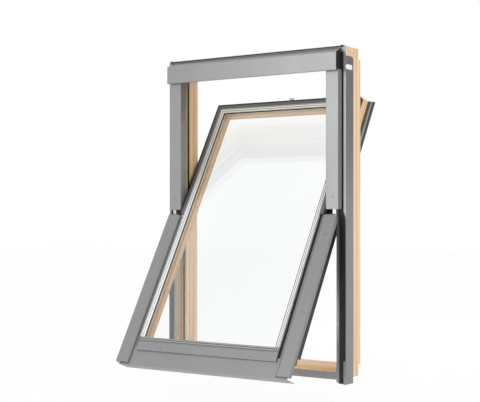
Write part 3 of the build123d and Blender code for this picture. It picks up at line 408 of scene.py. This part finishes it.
def pine(name, group, tilted):
    """Clear lacquered pine in one grain direction."""
    made, tree, shader = material(name)
    use = placed(tree, group)
    tree.links.new(shut_place(tree, tilted), use.inputs["Place"])
    tree.links.new(use.outputs["Color"], shader.inputs["Base Color"])
    shader.inputs["Roughness"].default_value = LACQUER_ROUGHNESS
    shader.inputs["Coat Weight"].default_value = COAT_WEIGHT
    shader.inputs["Coat Roughness"].default_value = COAT_ROUGHNESS
    bump(tree, shader, use.outputs["Height"], *PINE_BUMP)
    return made


def plain(name, color, rough, grain=USUAL_GRAIN):
    """Rubber or plastic with a faint texture."""
    made, tree, shader = material(name)
    fine = noise(tree, object_place(tree), scale=260.0, detail=2.0)
    lighter = toned(color, 2 * grain, GRAIN_LIFT)
    tree.links.new(mix(tree, fine, color, lighter), shader.inputs["Base Color"])
    shader.inputs["Roughness"].default_value = rough
    bump(tree, shader, fine, *GRAIN_BUMP)
    return made


def pane_glass():
    """Clear float glass with a trace of unevenness, which lets the lamps shine through."""
    made, tree, shader = material("clear pane glass")
    wave = noise(tree, object_place(tree), scale=3.0, detail=1.0)
    tree.links.new(mix(tree, wave, GLASS_DEEP, GLASS_CLEAR), shader.inputs["Base Color"])
    shader.inputs["Metallic"].default_value = 0.0
    shader.inputs["Roughness"].default_value = 0.0
    shader.inputs["IOR"].default_value = GLASS_IOR
    shader.inputs["Transmission Weight"].default_value = 1.0
    path = tree.nodes.new("ShaderNodeLightPath")
    clear = tree.nodes.new("ShaderNodeBsdfTransparent")
    clear.inputs["Color"].default_value = (LIGHT_THROUGH_GLASS,) * 3 + (1.0,)
    blended(
        tree,
        path.outputs["Is Shadow Ray"],
        shader.outputs["BSDF"],
        clear.outputs["BSDF"],
        tree.nodes["Material Output"],
    )
    return made


def paint(names, made):
    """The material on every named CAD node."""
    for name in names:
        data = nodes[name].data
        data.materials.clear()
        data.materials.append(made)


def paired(*names):
    """The left and right names of each pair."""
    return [f"{name}_{side}" for name in names for side in ("left", "right")]


def paint_wood():
    """Pine on the frame and the sash, its grain along each member."""
    upright = pine_group("Z")
    across = pine_group("X")
    paint(paired("frame_side"), pine("frame pine, grain upright", upright, False))
    paint(["frame_head", "frame_sill"], pine("frame pine, grain across", across, False))
    paint(paired("stile"), pine("sash pine, grain upright", upright, True))
    paint(["top_rail", "bottom_rail"], pine("sash pine, grain across", across, True))


def paint_metal(wear):
    """Coated sheet, bare aluminium, dark profiles and plated steel."""
    sheets = ["sill_strip", "top_casing", "head_plate", "bottom_cover", "bottom_profile"]
    sheets += ["channel_rails", "frame_screws", "sash_screws"]
    sheets += paired("skirt", "frame_cover", "sash_cover")
    paint(sheets, coated("grey coated sheet", SHEET_GREY, wear, metallic=0.5, rough_shift=SATIN))
    beads = ["top_bead"] + paired("side_bead")
    paint(beads, bare("bead aluminium", ALUMINIUM, wear, metallic=0.5))
    handles = ["control_bar", "vent_flap"] + paired("rear_rail")
    paint(handles, bare("satin aluminium", HANDLE_GREY, wear, metallic=0.7))
    trims = ["top_trim"] + paired("side_trim")
    paint(trims, coated("dark coated trim", TRIM_GREY, wear, metallic=0.3))
    steels = ["striker_plate", "latch_housing", "latch_bolt", "bolt_barrel"]
    steels += ["side_bolt", "bar_brackets", "flap_lugs"]
    steels += paired("hinge_housing", "hinge_tongue")
    paint(steels, coated("zinc plated steel", ZINC, wear, metallic=0.8, rough_shift=PLATED))


def paint_rubber_and_plastic():
    """Seals, gaskets, the spacer and the moulded pieces."""
    seals = ["edge_seal", "glazing_gasket", "gap_seals", "upper_seals", "stop_seals"]
    # The channel seals are black strips along the channels: they seal, and they also stand as
    # painted shade for the wood's front face in shadow there
    seals += ["lip_seal"] + paired("channel_seal")
    paint(seals, plain("black seal rubber and painted channel shade", SEAL_BLACK, rough=0.6))
    paint(["rear_seals"], plain("dark grey seal", SEAL_GREY, rough=0.55))
    # The brown gasket sits in the rear rails' groove: partly a gasket, partly painted shade for
    # the groove
    paint(["rear_gaskets"], plain("brown gasket rubber and painted groove shade", GASKET_SHADE_BROWN, rough=0.55))
    paint(["spacer_bar"], plain("beige spacer", SPACER_BEIGE, rough=0.5))
    moulded = ["frame_cover_clips", "cover_carriers", "casing_caps"]
    paint(moulded, plain("black plastic", PLASTIC_BLACK, rough=0.45))
    pale = plain("pale clip coating", CLIP_WHITE, rough=0.35, grain=FAINT_GRAIN)
    paint(["casing_clips"], pale)


def mitre(corners):
    """Cuts the ends of the strip being edited at 45 degrees, at the beads' corners."""
    for side, keeps_upper in corners:
        bpy.ops.mesh.select_all(action="SELECT")
        bpy.ops.mesh.bisect(
            plane_co=(side * BEAD_INNER, 0.0, BEAD_TOP),
            plane_no=Vector((-side, 0.0, 1.0)).normalized(),
            use_fill=True,
            clear_inner=keeps_upper,
            clear_outer=not keeps_upper,
        )


def select_front_edges(piece, longest, middle_depth):
    """Selects the edges that run along the strip on its front."""
    for edge in piece.data.edges:
        first, last = (piece.data.vertices[i].co for i in edge.vertices)
        runs_along = abs((last - first).normalized()[longest]) > RUNS_ALONG
        edge.select = runs_along and max(first.y, last.y) < middle_depth


def bead_strip(name, low, high, rounding, corners):
    """A long strip on the shut sash, mitred and rounded, then swung open with it."""
    clear_selection()
    size = [b - a for a, b in zip(low, high)]
    middle = [(a + b) / 2 for a, b in zip(low, high)]
    bpy.ops.mesh.primitive_cube_add(size=1.0, location=middle)
    piece = bpy.context.object
    piece.name = name
    piece.scale = size
    bpy.ops.object.transform_apply(location=True, rotation=True, scale=True)
    bpy.ops.object.mode_set(mode="EDIT")
    mitre(corners)
    bpy.ops.mesh.select_all(action="DESELECT")
    bpy.ops.object.mode_set(mode="OBJECT")
    select_front_edges(piece, size.index(max(size)), middle[1])
    bpy.ops.object.mode_set(mode="EDIT")
    bpy.ops.mesh.select_mode(type="EDGE")
    bpy.ops.mesh.bevel(offset=rounding, segments=ROUNDING_STEPS)
    bpy.ops.mesh.select_all(action="SELECT")
    bpy.ops.transform.rotate(value=OPEN_ANGLE, orient_axis="X", center_override=PIVOT)
    bpy.ops.object.mode_set(mode="OBJECT")
    return piece


def fit_strip(piece, made):
    """A strip's shading, material, body and slot."""
    clear_selection()
    bpy.context.view_layer.objects.active = piece
    piece.select_set(True)
    bpy.ops.object.shade_smooth_by_angle(angle=SMOOTH_ANGLE)
    piece.data.materials.append(made)
    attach(piece, "sash")


def bead_lines(kind, places, made):
    """Ridges or grooves along both side beads and the top bead."""
    for index, (offset, width, height) in enumerate(places):
        face = BEAD_FRONT - BEAD_SLOPE * offset
        near, far = BEAD_INNER + offset, BEAD_INNER + offset + width
        front, back = face - height, face + STRIP_SINK
        top = BEAD_TOP + offset + width
        rounding = ROUNDING * min(height, width / 2)
        for side, word in ((-1, "left"), (1, "right")):
            edges = sorted((side * near, side * far))
            low = (edges[0], front, BEAD_BOTTOM)
            high = (edges[1], back, top)
            name = f"bead_{kind}_{word}_{index}"
            fit_strip(bead_strip(name, low, high, rounding, [(side, False)]), made)
        low = (-far, front, BEAD_TOP + offset)
        high = (far, back, top)
        corners = [(-1, True), (1, True)]
        name = f"bead_{kind}_top_{index}"
        fit_strip(bead_strip(name, low, high, rounding, corners), made)


def bottom_lines(kind, places, made):
    """Ridges or grooves along the profile under the glass."""
    for index, (offset, width, height) in enumerate(places):
        face = BEAD_FRONT - BOTTOM_SLOPE * offset
        low = (-BOTTOM_HALF_WIDTH, face - height, BEAD_BOTTOM - offset - width)
        high = (BOTTOM_HALF_WIDTH, face + STRIP_SINK, BEAD_BOTTOM - offset)
        rounding = ROUNDING * min(height, width / 2)
        name = f"bottom_{kind}_{index}"
        fit_strip(bead_strip(name, low, high, rounding, []), made)


def rib_beads(wear):
    """Ridges with a painted highlight, and near-black strips of painted shade for the grooves,
    along the beads and the profile under the glass.
    """
    # The ridge colour, lighter than the bead, is a painted highlight along each ridge
    ridge = coated(
        "bead ridge, painted highlight",
        BEAD_RIDGE_HIGHLIGHT,
        wear,
        metallic=0.4,
        rough_shift=POLISHED,
        dust=FAINT_DUST,
    )
    # The groove strips are near-black: painted shade where the bead's grooves fall dark
    groove = coated("painted bead groove shade", GROOVE_SHADE, wear, metallic=0.2)
    bead_lines("ridge", RIDGES, ridge)
    bead_lines("groove", GROOVES, groove)
    # The bottom profile's ridges are lighter than its sheet: a painted highlight
    highlight_bottom_ridge = coated("bottom ridge, painted highlight", BOTTOM_RIDGE_HIGHLIGHT, wear, metallic=0.5, rough_shift=SATIN)
    bottom_lines("ridge", RIDGES, highlight_bottom_ridge)
    bottom_lines("groove", GROOVES, groove)


def background_rays(tree):
    """One for the rays that show the background: seen directly, mirrored or through glass."""
    seen = tree.nodes.new("ShaderNodeLightPath").outputs
    mirrored = math_node(tree, "MAXIMUM", seen["Is Glossy Ray"], seen["Is Transmission Ray"])
    return math_node(tree, "MAXIMUM", seen["Is Camera Ray"], mirrored)


def screen(name, place, size):
    """A flat rectangle that lies level, its scale not yet applied."""
    clear_selection()
    bpy.ops.mesh.primitive_plane_add(size=1.0, location=place)
    piece = bpy.context.object
    piece.name = name
    piece.scale = (size[0], size[1], 1.0)
    return piece


def studio_floor():
    """A plain pale floor that shows almost white and keeps a soft shadow."""
    floor = screen("studio_floor", (0.0, 0.0, FLOOR_HEIGHT), (FLOOR_SPAN, FLOOR_SPAN))
    bpy.ops.object.transform_apply(location=True, rotation=True, scale=True)
    made, tree, shader = material("white floor")
    clouds = noise(tree, object_place(tree), scale=0.3)
    tree.links.new(mix(tree, clouds, FLOOR_DEEP, FLOOR_PALE), shader.inputs["Base Color"])
    shader.inputs["Roughness"].default_value = FLOOR_ROUGHNESS
    white = tree.nodes.new("ShaderNodeEmission")
    white.inputs["Color"].default_value = WHITE
    white.inputs["Strength"].default_value = SEEN_STRENGTH
    blended(
        tree,
        math_node(tree, "MULTIPLY", background_rays(tree), FLOOR_WHITE),
        shader.outputs["BSDF"],
        white.outputs["Emission"],
        tree.nodes["Material Output"],
    )
    floor.data.materials.append(made)


def dark_flag():
    """A dark screen seen only in reflections, so the frame's side faces read darker."""
    flag = screen("studio_flag", FLAG_PLACE, FLAG_SIZE)
    aim = Vector((0.0, 0.0, FLAG_PLACE[2])) - Vector(FLAG_PLACE)
    flag.rotation_euler = aim.to_track_quat("Z", "Y").to_euler()
    bpy.ops.object.transform_apply(location=True, rotation=True, scale=True)
    flag.data.materials.append(plain("black screen cloth", SEAL_GREY, rough=FLAG_ROUGHNESS))
    flag.visible_camera = False
    flag.visible_diffuse = False
    flag.visible_transmission = False
    flag.visible_shadow = False


def area_lamp(name, place, target, size, power):
    """A soft rectangular lamp aimed at a point."""
    clear_selection()
    bpy.ops.object.light_add(type="AREA", location=place)
    lamp = bpy.context.object
    lamp.name = name
    lamp.data.shape = "RECTANGLE"
    lamp.data.size = size[0]
    lamp.data.size_y = size[1]
    lamp.data.energy = power
    aim = Vector(target) - Vector(place)
    lamp.rotation_euler = aim.to_track_quat("-Z", "Y").to_euler()


def white_background(tree, strength):
    """A white background shader."""
    node = tree.nodes.new("ShaderNodeBackground")
    node.inputs["Color"].default_value = WHITE
    node.inputs["Strength"].default_value = strength
    return node.outputs["Background"]


def white_world():
    """A world that lights softly and shows white behind the window."""
    world = bpy.data.worlds.new("soft white room")
    bpy.context.scene.world = world
    world.use_nodes = True
    tree = world.node_tree
    tree.nodes.clear()
    blended(
        tree,
        background_rays(tree),
        white_background(tree, WORLD_STRENGTH),
        white_background(tree, SEEN_STRENGTH),
        tree.nodes.new("ShaderNodeOutputWorld"),
    )


def photo_camera():
    """The camera at the photo's place and angle."""
    clear_selection()
    bpy.ops.object.camera_add(location=CAMERA_PLACE)
    camera = bpy.context.object
    camera.name = "photo_camera"
    camera.rotation_euler = (LEVEL, 0.0, CAMERA_TURN)
    camera.data.sensor_fit = "HORIZONTAL"
    camera.data.sensor_width = SENSOR_MM
    camera.data.lens = FOCAL_MM
    camera.data.shift_y = SHIFT_UP
    bpy.context.scene.camera = camera


metal_wear = wear_group()
paint_wood()
paint_metal(metal_wear)
paint_rubber_and_plastic()
paint(["outer_pane", "inner_pane"], pane_glass())
rib_beads(metal_wear)

studio_floor()
for lamp_values in LAMPS:
    area_lamp(*lamp_values)
dark_flag()
white_world()
photo_camera()
bpy.context.scene.view_settings.view_transform = "Standard"
